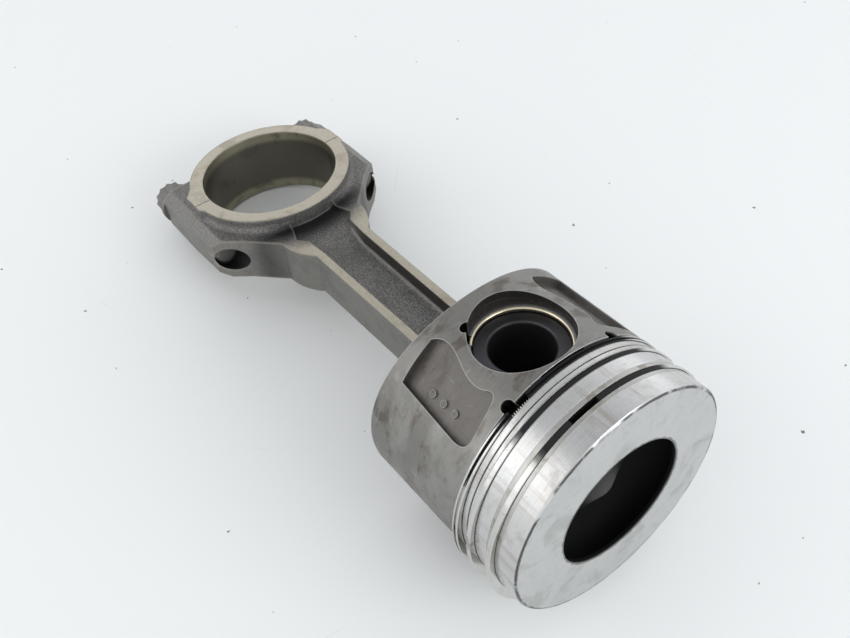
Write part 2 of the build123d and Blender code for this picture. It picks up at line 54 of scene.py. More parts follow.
# ---------------------------------------------------------------- camera
# A hand-held view from above the crown's corner, with the crown nearest. Its place and directions
# are in the engine's axes, in metres; the sensor and lens are in millimetres.
camera_place = Vector((0.1337, -0.1136, 0.2249))
camera_right = engine @ Vector((0.6028, 0.7917, -0.0992))
camera_up = engine @ Vector((-0.5258, 0.4877, 0.6969))
sensor_width = 36.0
lens_length = 37.5
nearest_seen = 0.01

camera_data = bpy.data.cameras.new("camera")
camera_data.sensor_width = sensor_width
camera_data.lens = lens_length
camera_data.clip_start = nearest_seen
camera = bpy.data.objects.new("camera", camera_data)
bpy.context.scene.collection.objects.link(camera)
camera_back = camera_right.cross(camera_up)
turn = Matrix((camera_right, camera_up, camera_back)).transposed()
camera.matrix_world = Matrix.Translation(pin_centre + engine @ camera_place) @ turn.to_4x4()
bpy.context.scene.camera = camera

# ---------------------------------------------------------------- table and light
# A pale matt table with crumbs and faint scuffs, under a bright, even ceiling, with soft windows at
# the front and side. The tone curve is left plain, so that bright metal keeps its contrast.
table_half = 3.0
table_white = (0.90, 0.91, 0.905, 1.0)
crumb_dark = (0.18, 0.17, 0.16, 1.0)
table_roughness = 0.6
crumb_cells = 24.0
crumb_ragged = 1500.0
crumb_spread = 0.055
crumb_rarity = -0.011
scuff_scale = 9.0
scuff_bend = 1.2
scuff_width = 0.0016
scuff_share = 0.22
patch_scale = 30.0
patch_edge = (0.60, 0.68)
horizon = (0.96, 0.98, 1.0, 1.0)
overhead = (0.40, 0.41, 0.42, 1.0)
overhead_height = 0.80
room_strength = 1.60


def add_node(tree, kind, inputs=None, **settings):
    """Adds a shader node. An input is a number, a colour or a socket to link."""
    made = tree.nodes.new(kind)
    for name, value in settings.items():
        setattr(made, name, value)
    for name, value in (inputs or {}).items():
        if isinstance(value, bpy.types.NodeSocket):
            tree.links.new(value, made.inputs[name])
        else:
            made.inputs[name].default_value = value
    return made


def calculate(tree, operation, *values):
    """One step of arithmetic on numbers or sockets."""
    step = add_node(tree, "ShaderNodeMath", dict(enumerate(values)), operation=operation)
    return step.outputs[0]


def blend_colour(tree, mask, under, over):
    """Lays one colour over another where the mask says."""
    mix = add_node(tree, "ShaderNodeMix", {0: mask, 6: under, 7: over}, data_type="RGBA")
    return mix.outputs[2]


def grid_mesh(name, points, close_v=False):
    """A mesh over a grid of points: rows run along u, columns along v, joined up where closed."""
    rows, columns = points.shape[:2]
    index = np.arange(rows * columns).reshape(rows, columns)
    if close_v:
        index = np.hstack((index, index[:, :1]))
    corners = (index[:-1, :-1], index[1:, :-1], index[1:, 1:], index[:-1, 1:])
    quads = np.stack(corners, axis=-1).reshape(-1, 4)
    mesh = bpy.data.meshes.new(name)
    mesh.vertices.add(rows * columns)
    mesh.vertices.foreach_set("co", points.reshape(-1).astype(np.float32))
    mesh.loops.add(quads.size)
    mesh.loops.foreach_set("vertex_index", quads.reshape(-1).astype(np.int32))
    mesh.polygons.add(len(quads))
    mesh.polygons.foreach_set("loop_start", np.arange(0, quads.size, 4, dtype=np.int32))
    mesh.polygons.foreach_set("use_smooth", np.full(len(quads), True))
    mesh.update(calc_edges=True)
    mesh.validate()
    made = bpy.data.objects.new(name, mesh)
    bpy.context.scene.collection.objects.link(made)
    return made


def table_finish():
    """Matt white paint, a few ragged crumbs, and thin scuffs where patches of wear lie."""
    finish = bpy.data.materials.new("pale table")
    finish.use_nodes = True
    tree = finish.node_tree
    shader = tree.nodes["Principled BSDF"]
    place = add_node(tree, "ShaderNodeTexCoord").outputs["Object"]

    cell = {"Vector": place, "Scale": crumb_cells}
    cells = add_node(tree, "ShaderNodeTexVoronoi", cell, voronoi_dimensions="2D").outputs
    chance = add_node(tree, "ShaderNodeSeparateXYZ", {"Vector": cells["Color"]}).outputs["X"]
    outline = {"Vector": place, "Scale": crumb_ragged, "Detail": 2.0}
    ragged = add_node(tree, "ShaderNodeTexNoise", outline).outputs[0]
    reach = calculate(tree, "MULTIPLY", ragged, chance)
    reach = calculate(tree, "MULTIPLY_ADD", reach, crumb_spread, crumb_rarity)
    crumbs = calculate(tree, "LESS_THAN", cells["Distance"], reach)

    thread = {"Vector": place, "Scale": scuff_scale, "Detail": 1.0, "Distortion": scuff_bend}
    level = add_node(tree, "ShaderNodeTexNoise", thread).outputs[0]
    middle = 0.5
    off_line = calculate(tree, "ABSOLUTE", calculate(tree, "SUBTRACT", level, middle))
    line = {"Value": off_line, "From Min": scuff_width, "From Max": 0.0}
    line = add_node(tree, "ShaderNodeMapRange", line).outputs["Result"]
    patch = add_node(tree, "ShaderNodeTexNoise", {"Vector": place, "Scale": patch_scale})
    worn = {"Value": patch.outputs[0], "From Min": patch_edge[0], "From Max": patch_edge[1]}
    worn = add_node(tree, "ShaderNodeMapRange", worn).outputs["Result"]
    scuffs = calculate(tree, "MULTIPLY", calculate(tree, "MULTIPLY", line, worn), scuff_share)

    marks = calculate(tree, "MAXIMUM", scuffs, crumbs)
    paint = blend_colour(tree, marks, table_white, crumb_dark)
    tree.links.new(paint, shader.inputs["Base Color"])
    shader.inputs["Roughness"].default_value = table_roughness
    return finish


bpy.context.scene.view_settings.view_transform = "Standard"

table_line = np.linspace(-table_half, table_half, 3)
corner_u, corner_v = np.meshgrid(table_line, table_line)
table_points = np.dstack((corner_v, corner_u, np.zeros_like(corner_u)))
table = grid_mesh("table", table_points[:, ::-1])
table.data.materials.append(table_finish())

room = bpy.data.worlds.new("room")
bpy.context.scene.world = room
room.use_nodes = True
background = room.node_tree.nodes["Background"]
direction = add_node(room.node_tree, "ShaderNodeTexCoord").outputs["Generated"]
height = add_node(room.node_tree, "ShaderNodeSeparateXYZ", {"Vector": direction}).outputs["Z"]
ceiling = add_node(room.node_tree, "ShaderNodeValToRGB", {"Fac": height})
low_end, high_end = ceiling.color_ramp.elements
low_end.position = 0.0
low_end.color = horizon
high_end.position = overhead_height
high_end.color = overhead
room.node_tree.links.new(ceiling.outputs["Color"], background.inputs["Color"])
background.inputs["Strength"].default_value = room_strength


def add_window(name, position, width, height, power, colour):
    """A soft rectangular light that faces the assembly's middle."""
    data = bpy.data.lights.new(name, "AREA")
    data.shape = "RECTANGLE"
    data.size = width
    data.size_y = height
    data.energy = power
    data.color = colour
    lamp = bpy.data.objects.new(name, data)
    bpy.context.scene.collection.objects.link(lamp)
    lamp.location = position
    lamp.rotation_mode = "QUATERNION"
    lamp.rotation_quaternion = (-Vector(position)).to_track_quat("-Z", "Y")


add_window("front window", position=(-0.5, -0.9, 0.65), width=0.9, height=0.7, power=1.6,
           colour=(1.0, 0.99, 0.97))
add_window("side window", position=(1.0, 0.35, 0.6), width=0.7, height=0.5, power=3.6,
           colour=(0.94, 0.97, 1.0))

# ---------------------------------------------------------------- piston body
# A gravity-cast aluminium piston: turned crown, lands and skirt, a soot-black bowl, and bare
# casting inside and in the side pockets. Use has left brown varnish in streaks round the skirt.
# The black below is real soot on the crown and in the bowl, and also painted shade in the circlip
# notch, the ring grooves and inside the rings and carrier.
soot_and_shade_black = (0.004, 0.004, 0.004, 1.0)
ash = (0.055, 0.053, 0.053, 1.0)
skirt_alloy = (0.210, 0.203, 0.190, 1.0)
skirt_varnish = (0.105, 0.083, 0.068, 1.0)
skirt_bare = (0.335, 0.328, 0.31, 1.0)
land_alloy = (0.60, 0.595, 0.59, 1.0)
# The brown below is real varnish on the lands, and also painted reflection in streaks along the
# cylinder's axis.
land_varnish_and_reflection = (0.36, 0.32, 0.28, 1.0)
land_dull = (0.34, 0.34, 0.34, 1.0)
# The dark below is painted shade, on the boss hole's wall and in lines beside the ring grooves.
recess_shade = (0.085, 0.080, 0.075, 1.0)
crown_alloy = (0.565, 0.57, 0.56, 1.0)
crown_stain = (0.34, 0.345, 0.33, 1.0)
cast_alloy = (0.20, 0.185, 0.17, 1.0)
cast_pocket = (0.135, 0.122, 0.112, 1.0)

# Borders between finishes, in millimetres: where a finish starts to show and where it is full.
# Heights run up the cylinder from the wrist pin, radii from the cylinder's axis or the pin's.
belt_height = (16.6, 16.9)
crown_height = (41.4, 41.7)
crown_radius = (22.6, 23.0)
cavity_radius = (38.6, 38.3)
cavity_height = (24.0, 23.0)
bowl_radius = (25.2, 25.0)
bowl_height = (23.0, 24.0)
pocket_radius = (41.35, 41.0)
pocket_from_pin = (16.2, 16.6)
hole_from_pin = (16.2, 15.9)
hole_height = (17.0, 16.5)
notch_from_pin = (16.1, 16.5)
notch_to_pin = (18.8, 18.4)
notch_radius = (41.3, 41.1)
groove_radius = (41.0, 40.7)
groove_root = (34.0, 36.0)
groove_foot = (13.4, 13.8)
groove_top = (41.0, 40.5)
thrust_from_pin = (24.0, 34.0)
rim_radius = (40.35, 40.85)
rim_wander = 1.1
lip_radius = (24.5, 23.9)
lip_wander = 1.6
dome_radius = (9.0, 3.0)
# Painted shade lines lie at these heights, along the gaps between the rings and their grooves.
shaded_gap_heights = (19.3, 21.5, 23.2, 25.0, 31.5, 33.6)
gap_shade_line = (0.38, 0.12)
tool_line = (0.16, 0.42)
round_cylinder = (1, 0.5, 0.62)
up_cylinder = (0.12, 1, 1)


def engine_millimetres(tree):
    """Object coordinates turned into the engine's axes, in millimetres."""
    place = add_node(tree, "ShaderNodeMapping", vector_type="TEXTURE")
    place.inputs["Location"].default_value = pin_centre
    place.inputs["Rotation"].default_value = engine.to_euler()
    place.inputs["Scale"].default_value = (0.001, 0.001, 0.001)
    tree.links.new(add_node(tree, "ShaderNodeTexCoord").outputs["Object"], place.inputs["Vector"])
    return place.outputs["Vector"]


def stretched(tree, vector, scale):
    """A vector with each part multiplied, so that a pattern on it is drawn out or pressed in."""
    parts = {0: vector, 1: scale}
    return add_node(tree, "ShaderNodeVectorMath", parts, operation="MULTIPLY").outputs[0]


def distance_from(tree, vector, centre, keep):
    """Distance of a point from an axis: the part of (vector - centre) along the axes in keep."""
    away = {0: vector, 1: centre}
    moved = add_node(tree, "ShaderNodeVectorMath", away, operation="SUBTRACT").outputs[0]
    flat = stretched(tree, moved, keep)
    return add_node(tree, "ShaderNodeVectorMath", {0: flat}, operation="LENGTH").outputs["Value"]


def rise(tree, value, low, high):
    """A smooth step: 0 below low and 1 above high, or the other way round if low is the larger."""
    step = {"Value": value, "From Min": low, "From Max": high}
    mask = add_node(tree, "ShaderNodeMapRange", step, interpolation_type="SMOOTHSTEP")
    return mask.outputs["Result"]


def times(tree, *values):
    """The product of masks."""
    product = values[0]
    for value in values[1:]:
        product = calculate(tree, "MULTIPLY", product, value)
    return product


def opposite(tree, value):
    """One minus a mask."""
    return calculate(tree, "SUBTRACT", 1.0, value)


def blend_value(tree, mask, under, over):
    """Lays one number over another where the mask says."""
    mix = add_node(tree, "ShaderNodeMix", {0: mask, 2: under, 3: over}, data_type="FLOAT")
    return mix.outputs[0]


def coats(tree, under, *layers, blend=blend_colour):
    """Lays coats over a colour in turn. A coat is its mask, the share that shows, its colour."""
    for mask, share, over in layers:
        if share != 1:
            mask = times(tree, mask, share)
        under = blend(tree, mask, under, over)
    return under


def new_group(name, inputs, outputs):
    """An empty shader group. Inputs are (name, kind, default) and outputs (name, kind)."""
    group = bpy.data.node_groups.new(name, "ShaderNodeTree")
    for label, kind, default in inputs:
        socket = group.interface.new_socket(label, in_out="INPUT", socket_type=kind)
        if default is not None:
            socket.default_value = default
    for label, kind in outputs:
        group.interface.new_socket(label, in_out="OUTPUT", socket_type=kind)
    given = group.nodes.new("NodeGroupInput").outputs
    return group, given, group.nodes.new("NodeGroupOutput").inputs


def grain_group():
    """Skin of a casting or forging: coarse lumps with fine sand grain on them."""
    vector = ("Vector", "NodeSocketVector", None)
    size = ("Size", "NodeSocketFloat", 1.0)
    floats = [("Height", "NodeSocketFloat"), ("Mottle", "NodeSocketFloat")]
    lump_scale = 0.18
    lump_share = 0.35
    group, given, result = new_group("sand grain", [vector, size], floats)
    scale = calculate(group, "DIVIDE", 1.0, given["Size"])
    sand = {"Vector": given["Vector"], "Scale": scale, "Detail": 4.0, "Roughness": 0.62}
    fine = add_node(group, "ShaderNodeTexNoise", sand).outputs[0]
    lumps = {"Vector": given["Vector"], "Scale": times(group, scale, lump_scale), "Detail": 3.0}
    wide = add_node(group, "ShaderNodeTexNoise", lumps).outputs[0]
    group.links.new(fine, result["Height"])
    group.links.new(blend_value(group, lump_share, fine, wide), result["Mottle"])
    return group


def turned_group():
    """Marks of a lathe tool: fine even ridges across the feed, a little uneven round the work."""
    along = ("Along", "NodeSocketFloat", 0.0)
    pitch = ("Pitch", "NodeSocketFloat", 0.2)
    vector = ("Vector", "NodeSocketVector", None)
    output = ("Height", "NodeSocketFloat")
    ridge_height = 0.08
    group, given, result = new_group("turned marks", [along, pitch, vector], [output])
    round_work = {"Vector": given["Vector"], "Scale": 0.08, "Detail": 2.0}
    wander = add_node(group, "ShaderNodeTexNoise", round_work).outputs[0]
    turns = calculate(group, "DIVIDE", given["Along"], given["Pitch"])
    ridge = calculate(group, "SINE", calculate(group, "MULTIPLY", turns, 2 * math.pi))
    rows = add_node(group, "ShaderNodeCombineXYZ", {"X": turns}).outputs[0]
    row_noise = {"Vector": rows, "Scale": 0.9, "Detail": 3.0}
    uneven = add_node(group, "ShaderNodeTexNoise", row_noise).outputs[0]
    ridges = calculate(group, "MULTIPLY_ADD", ridge, ridge_height, uneven)
    group.links.new(times(group, ridges, wander), result["Height"])
    return group


def stain_group():
    """Oil varnish and burnt film: soft-edged patches that cover a share of the surface."""
    vector = ("Vector", "NodeSocketVector", None)
    size = ("Size", "NodeSocketFloat", 10.0)
    cover = ("Cover", "NodeSocketFloat", 0.5)
    output = ("Mask", "NodeSocketFloat")
    bare_level = 0.75
    level_per_cover = -0.5
    soft_edge = 0.14
    group, given, result = new_group("oil stain", [vector, size, cover], [output])
    scale = calculate(group, "DIVIDE", 1.0, given["Size"])
    noise = {"Vector": given["Vector"], "Scale": scale, "Detail": 5.0, "Roughness": 0.6,
             "Distortion": 0.4}
    patch = add_node(group, "ShaderNodeTexNoise", noise).outputs[0]
    low = calculate(group, "MULTIPLY_ADD", level_per_cover, given["Cover"], bare_level)
    high = calculate(group, "ADD", low, soft_edge)
    group.links.new(rise(group, patch, low, high), result["Mask"])
    return group


def scratch_group():
    """Fine handling scratches: thin broken lines drawn along the vector's first axis."""
    vector = ("Vector", "NodeSocketVector", None)
    spacing = ("Spacing", "NodeSocketFloat", 3.0)
    output = ("Mask", "NodeSocketFloat")
    drawn_out = (0.06, 1.0, 1.0)
    middle = 0.5
    line_edge = (0.008, 0.0)
    break_scale = 0.12
    break_edge = (0.52, 0.62)
    group, given, result = new_group("handling scratches", [vector, spacing], [output])
    scale = calculate(group, "DIVIDE", 1.0, given["Spacing"])
    long = stretched(group, given["Vector"], drawn_out)
    thin = {"Vector": long, "Scale": scale, "Detail": 1.0, "Distortion": 0.6}
    line = add_node(group, "ShaderNodeTexNoise", thin).outputs[0]
    near = calculate(group, "ABSOLUTE", calculate(group, "SUBTRACT", line, middle))
    gaps = {"Vector": given["Vector"], "Scale": break_scale}
    broken = add_node(group, "ShaderNodeTexNoise", gaps).outputs[0]
    mask = times(group, rise(group, near, *line_edge), rise(group, broken, *break_edge))
    group.links.new(mask, result["Mask"])
    return group


def worn_edge_group():
    """Edges rubbed bright: where the solid is thin within the width, so only outer corners show."""
    width = ("Width", "NodeSocketFloat", 0.0005)
    outputs = [("Mask", "NodeSocketFloat"), ("Normal", "NodeSocketVector")]
    thin_solid = (0.90, 0.55)
    group, given, result = new_group("worn edge", [width], outputs)
    corner = add_node(group, "ShaderNodeBevel", {"Radius": given["Width"]}, samples=4).outputs[0]
    within = add_node(group, "ShaderNodeAmbientOcclusion", {"Distance": given["Width"]},
                      samples=6, inside=True, only_local=True)
    group.links.new(rise(group, within.outputs["AO"], *thin_solid), result["Mask"])
    group.links.new(corner, result["Normal"])
    return group


grain = grain_group()
turned = turned_group()
stain = stain_group()
scratches = scratch_group()
worn_edge = worn_edge_group()


def use_group(tree, group, **inputs):
    """Places a shared effect in a material with its own values."""
    named = {name.capitalize(): value for name, value in inputs.items()}
    return add_node(tree, "ShaderNodeGroup", named, node_tree=group).outputs


def stained(tree, vector, size, cover):
    """The oil stain's mask: patches of this size over this share of the surface."""
    return use_group(tree, stain, vector=vector, size=size, cover=cover)["Mask"]


def grained(tree, vector, size):
    """The sand grain's height and mottle."""
    return use_group(tree, grain, vector=vector, size=size)


def tool_marks(tree, along, pitch, vector):
    """The turned marks' height."""
    return use_group(tree, turned, along=along, pitch=pitch, vector=vector)["Height"]


def start_finish(name):
    """A new material: its tree, its shader and its place in the engine's axes."""
    finish = bpy.data.materials.new(name)
    finish.use_nodes = True
    tree = finish.node_tree
    return finish, tree, tree.nodes["Principled BSDF"], engine_millimetres(tree)


def surface(tree, shader, colour, roughness, metallic, height, depth, normal=None):
    """Feeds a material's shader. Depth is the relief's height in metres."""
    relief = add_node(tree, "ShaderNodeBump", {"Height": height, "Distance": depth})
    if normal is not None:
        tree.links.new(normal, relief.inputs["Normal"])
    tree.links.new(relief.outputs["Normal"], shader.inputs["Normal"])
    for name, value in (("Base Color", colour), ("Roughness", roughness), ("Metallic", metallic)):
        if isinstance(value, bpy.types.NodeSocket):
            tree.links.new(value, shader.inputs[name])
        else:
            shader.inputs[name].default_value = value


def dress(node, finish):
    """Gives a CAD node its material."""
    slots = frame["nodes"][node].data.materials
    slots.clear()
    slots.append(finish)


def piston_finish():
    """Aluminium in five states: turned lands, turned crown, rubbed skirt, bare casting and soot."""
    finish, tree, shader, place = start_finish("piston alloy")
    axes = add_node(tree, "ShaderNodeSeparateXYZ", {"Vector": place}).outputs
    radius = distance_from(tree, place, (0, 0, 0), (0, 1, 1))
    boss = distance_from(tree, place, (0, 0, 0), (1, 1, 0))
    edge = use_group(tree, worn_edge, width=0.00035)

    # Zones
    belt = rise(tree, axes["X"], *belt_height)
    crown = times(tree, rise(tree, axes["X"], *crown_height), rise(tree, radius, *crown_radius))
    inside = times(tree, rise(tree, radius, *cavity_radius), rise(tree, axes["X"], *cavity_height))
    bowl = times(tree, rise(tree, radius, *bowl_radius), rise(tree, axes["X"], *bowl_height),
                 opposite(tree, crown))
    pocket = times(tree, rise(tree, radius, *pocket_radius), opposite(tree, belt),
                   rise(tree, boss, *pocket_from_pin))
    # Painted shade: the wall of the wrist pin's hole in the bosses is darkened as shade.
    shaded_boss_hole = times(tree, rise(tree, boss, *hole_from_pin), rise(tree, axes["X"], *hole_height))
    # Painted shade: the circlip's removal notch is blackened as shade.
    shaded_notch = times(tree, rise(tree, boss, *notch_from_pin), rise(tree, boss, *notch_to_pin),
                  rise(tree, radius, *notch_radius))
    # The ring grooves are blackened: real soot, and painted shade for the depth of each groove.
    sooty_shaded_grooves = times(tree, rise(tree, radius, *groove_radius), rise(tree, axes["X"], *groove_foot),
                    opposite(tree, bowl), rise(tree, axes["X"], *groove_top),
                    rise(tree, radius, *groove_root))
    cast = calculate(tree, "MAXIMUM", pocket, inside)
    sooty = calculate(tree, "MAXIMUM", bowl, sooty_shaded_grooves)
    thrust_side = rise(tree, boss, *thrust_from_pin)

    # Skirt: varnish lies in patches drawn out round the cylinder, over fine turning lines
    along = stretched(tree, place, round_cylinder)
    streak = stained(tree, along, size=6.0, cover=0.50)
    speck = stained(tree, place, size=2.4, cover=0.42)
    rubbed = stained(tree, along, size=5.0, cover=0.40)
    sheen = stained(tree, along, size=20.0, cover=0.55)
    lines = use_group(tree, scratches, vector=place, spacing=2.2)["Mask"]
    on_side = tool_marks(tree, axes["X"], pitch=0.9, vector=place)
    on_face = tool_marks(tree, radius, pitch=0.7, vector=place)
    side_lines = rise(tree, on_side, *tool_line)
    face_lines = rise(tree, on_face, *tool_line)
    skirt = coats(tree, skirt_alloy,
                  (streak, 0.7, skirt_varnish),
                  (rubbed, 0.45, skirt_bare),
                  (times(tree, thrust_side, sheen), 0.6, skirt_bare),
                  (speck, 0.18, skirt_varnish),
                  (side_lines, 0.16, skirt_bare))

    # Lands: dull in patches and along the tool's lines, with painted shade lines beside each ring
    # groove where the rings' gaps lie
    # Painted reflection: dark streaks drawn out along the cylinder's axis stand in for the lands'
    # reflection bands.
    reflection_streak_place = stretched(tree, place, up_cylinder)
    land = coats(tree, land_alloy,
                 (streak, 0.35, land_varnish_and_reflection),
                 (stained(tree, reflection_streak_place, size=7.0, cover=0.5), 0.5, land_varnish_and_reflection),
                 (speck, 0.15, land_varnish_and_reflection),
                 (side_lines, 0.22, land_dull))
    # Painted shade: a dark line on the land along each ring's gap.
    for shaded_gap in shaded_gap_heights:
        off_edge = distance_from(tree, place, (shaded_gap, 0, 0), (1, 0, 0))
        land = coats(tree, land, (rise(tree, off_edge, *gap_shade_line), 0.75, recess_shade))

    # Crown: stained and pitted, burnt along its rim and the bowl's lip
    pits = stained(tree, place, size=0.9, cover=0.16)
    dirty = stained(tree, place, size=16.0, cover=0.42)
    wander = grained(tree, place, size=2.2)["Height"]
    rim = rise(tree, calculate(tree, "MULTIPLY_ADD", wander, rim_wander, radius), *rim_radius)
    burnt = times(tree, rim, stained(tree, place, size=9.0, cover=0.78))
    lip = rise(tree, calculate(tree, "MULTIPLY_ADD", wander, lip_wander, radius), *lip_radius)
    face = coats(tree, crown_alloy,
                 (stained(tree, place, size=14.0, cover=0.5), 0.5, crown_stain),
                 (speck, 0.22, crown_stain),
                 (face_lines, 0.14, land_dull),
                 (times(tree, pits, dirty), 0.7, soot_and_shade_black),
                 (burnt, 0.85, soot_and_shade_black),
                 (lip, 0.8, soot_and_shade_black))

    # Bare casting, duller in the pockets
    casting = grained(tree, place, size=0.55)
    cast_colour = coats(tree, cast_alloy,
                        (casting["Mottle"], 1, skirt_varnish),
                        (pocket, 1, blend_colour(tree, 0.6, skirt, cast_pocket)))

    # Everything over the skirt's colour
    # Painted shade comes in below over the boss hole, the circlip notch and the ring grooves; the
    # grooves and the bowl also hold real soot.
    colour = coats(tree, skirt,
                   (belt, 1, blend_colour(tree, crown, land, face)),
                   (cast, 1, cast_colour),
                   (shaded_boss_hole, 1, recess_shade),
                   (shaded_notch, 1, soot_and_shade_black),
                   (sooty_shaded_grooves, 1, soot_and_shade_black),
                   (lines, 0.5, skirt_bare),
                   (edge["Mask"], 0.55, land_alloy),
                   (bowl, 1, blend_colour(tree, rise(tree, radius, *dome_radius), soot_and_shade_black, ash)))

    skirt_rough, land_rough, crown_rough = 0.42, 0.27, 0.36
    varnish_rough, cast_rough, soot_rough = 0.5, 0.5, 0.8
    roughness = coats(tree, skirt_rough,
                      (belt, 1, land_rough),
                      (crown, 1, crown_rough),
                      (streak, 0.5, varnish_rough),
                      (cast, 1, cast_rough),
                      (sooty, 1, soot_rough), blend=blend_value)
    alloy_metal, soot_metal = 0.95, 0.0
    metallic = blend_value(tree, sooty, alloy_metal, soot_metal)

    turned_relief, cast_relief, soot_relief, scratch_relief = 0.08, 2.0, 1.6, -0.3
    machined = times(tree, blend_value(tree, crown, on_side, on_face), turned_relief)
    height = coats(tree, machined,
                   (cast, 1, times(tree, casting["Height"], cast_relief)),
                   (bowl, 1, times(tree, casting["Height"], soot_relief)), blend=blend_value)
    height = calculate(tree, "MULTIPLY_ADD", lines, scratch_relief, height)
    shader.inputs["Specular IOR Level"].default_value = 0.15
    surface(tree, shader, colour, roughness, metallic, height, depth=0.00006,
            normal=edge["Normal"])
    return finish


dress("piston_body", piston_finish())

# ---------------------------------------------------------------- ring carrier
# A band of grey nickel iron cast into the piston to hold the top ring. It is turned with the lands
# and looks a shade darker and warmer than the aluminium on either side.
carrier_iron = (0.46, 0.455, 0.435, 1.0)
carrier_dark = (0.27, 0.24, 0.20, 1.0)


def turned_finish(name, bare, dark, roughness, cover, pitch=0.9, soot_and_shade_inside=None):
    """Turned metal with a thin varnish in patches, and soot with painted shade inside a radius."""
    finish, tree, shader, place = start_finish(name)
    axes = add_node(tree, "ShaderNodeSeparateXYZ", {"Vector": place}).outputs
    edge = use_group(tree, worn_edge, width=0.0003)
    patches = stained(tree, place, size=7.0, cover=cover)
    speck = stained(tree, place, size=1.8, cover=cover)
    marks = tool_marks(tree, axes["X"], pitch, place)
    colour = coats(tree, bare,
                   (patches, 0.7, dark),
                   (speck, 0.3, dark),
                   (edge["Mask"], 0.5, bare),
                   (rise(tree, marks, *tool_line), 0.25, dark))
    varnish_dulls, soot_rough, soot_and_shade_edge = 0.18, 0.8, 0.2
    worn = blend_value(tree, patches, roughness, roughness + varnish_dulls)
    metallic = 1.0
    # Inside the radius the metal goes black: soot, with the shade of the groove and gap painted in.
    if soot_and_shade_inside:
        radius = distance_from(tree, place, (0, 0, 0), (0, 1, 1))
        inside = rise(tree, radius, soot_and_shade_inside + soot_and_shade_edge, soot_and_shade_inside)
        colour = blend_colour(tree, inside, colour, soot_and_shade_black)
        worn = blend_value(tree, inside, worn, soot_rough)
        metallic = blend_value(tree, inside, 1.0, 0.0)
    surface(tree, shader, colour, worn, metallic, marks, depth=0.00001, normal=edge["Normal"])
    return finish


# The carrier is blackened inside its ring groove: soot and painted shade.
carrier_finish = turned_finish("carrier iron", carrier_iron, carrier_dark,
                               roughness=0.30, cover=0.45, soot_and_shade_inside=40.8)
dress("ring_carrier", carrier_finish)

# ---------------------------------------------------------------- piston rings
# Cast iron rings with bright ground sides and a face worn smooth by the cylinder. They are out of
# the cylinder, so they stand open and hang in their grooves.
ring_bright = (0.60, 0.595, 0.575, 1.0)
ring_dark = (0.24, 0.22, 0.195, 1.0)
# The rings are blackened where they sink into their grooves: soot and a painted shade line against
# the lands.
ring_finish = turned_finish("ring steel", ring_bright, ring_dark,
                            roughness=0.16, cover=0.34, pitch=0.6, soot_and_shade_inside=41.1)
for ring in ("top_compression_ring", "second_compression_ring", "oil_control_ring"):
    dress(ring, ring_finish)

# ---------------------------------------------------------------- coil spring behind the oil ring
# A close-wound steel coil bent into a hoop that pushes the oil ring outwards. Its turns show in the
# ring's gap. A thin latch wire inside joins its ends.
coil_radius = 0.00090
coil_wire = 0.00027
coil_pitch = 0.00080
hoop_radius = 0.0406
hoop_height = 0.01807
hoop_drop = 0.0023
hoop_joint = math.radians(203.6)
first_turn_after = 0.02
hoop_share = 0.994
steps_per_turn = 10
wire_sides = 6
wire_dark = (0.34, 0.31, 0.27, 1.0)
wire_bright = (0.66, 0.63, 0.58, 1.0)


def coiled_hoop():
    """A helix wound on a hoop: the hoop's angle runs once round while the winding angle runs once
    per pitch, and a small circle is carried along at right angles to the path."""
    windings = int(2 * math.pi * hoop_radius / coil_pitch)
    along = np.linspace(0.0, 1.0, windings * steps_per_turn + 1)
    hoop = hoop_joint + first_turn_after + along * 2 * math.pi * hoop_share
    winding = along * windings * 2 * math.pi
    outward = np.stack((np.zeros_like(hoop), -np.sin(hoop), np.cos(hoop)), axis=1)
    upward = np.tile((1.0, 0.0, 0.0), (len(along), 1))
    spoke = np.cos(winding)[:, None] * outward + np.sin(winding)[:, None] * upward
    centre = hoop_radius * outward + (coil_radius - coil_wire) * spoke
    centre[:, 0] += hoop_height
    centre[:, 2] -= hoop_drop
    tangent = np.gradient(centre, axis=0)
    tangent /= np.linalg.norm(tangent, axis=1)[:, None]
    side = np.cross(tangent, spoke)
    side /= np.linalg.norm(side, axis=1)[:, None]
    top = np.cross(side, tangent)
    turn = np.linspace(0, 2 * np.pi, wire_sides, endpoint=False)
    ring = np.cos(turn)[None, :, None] * top[:, None] + np.sin(turn)[None, :, None] * side[:, None]
    points = centre[:, None] + coil_wire * ring
    return points @ np.array(engine).T + np.array(pin_centre)


def wire_finish(name, dark, bright, roughness, cover=0.5):
    """Drawn wire: dark film in the hollows, bright where it rubs."""
    finish, tree, shader, place = start_finish(name)
    film = stained(tree, place, size=1.1, cover=cover)
    skin = grained(tree, place, size=0.2)
    film_dulls = 0.2
    colour = blend_colour(tree, film, bright, dark)
    worn = blend_value(tree, film, roughness, roughness + film_dulls)
    surface(tree, shader, colour, worn, 1.0, skin["Height"], depth=0.00001)
    return finish


coil = grid_mesh("oil_ring_coil", coiled_hoop(), close_v=True)
spring_finish = wire_finish("spring wire", wire_dark, wire_bright, roughness=0.28)
coil.data.materials.append(spring_finish)
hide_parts("oil_ring_coil_spring")
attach(coil, "oil_ring")
dress("oil_ring_latch_wire", spring_finish)

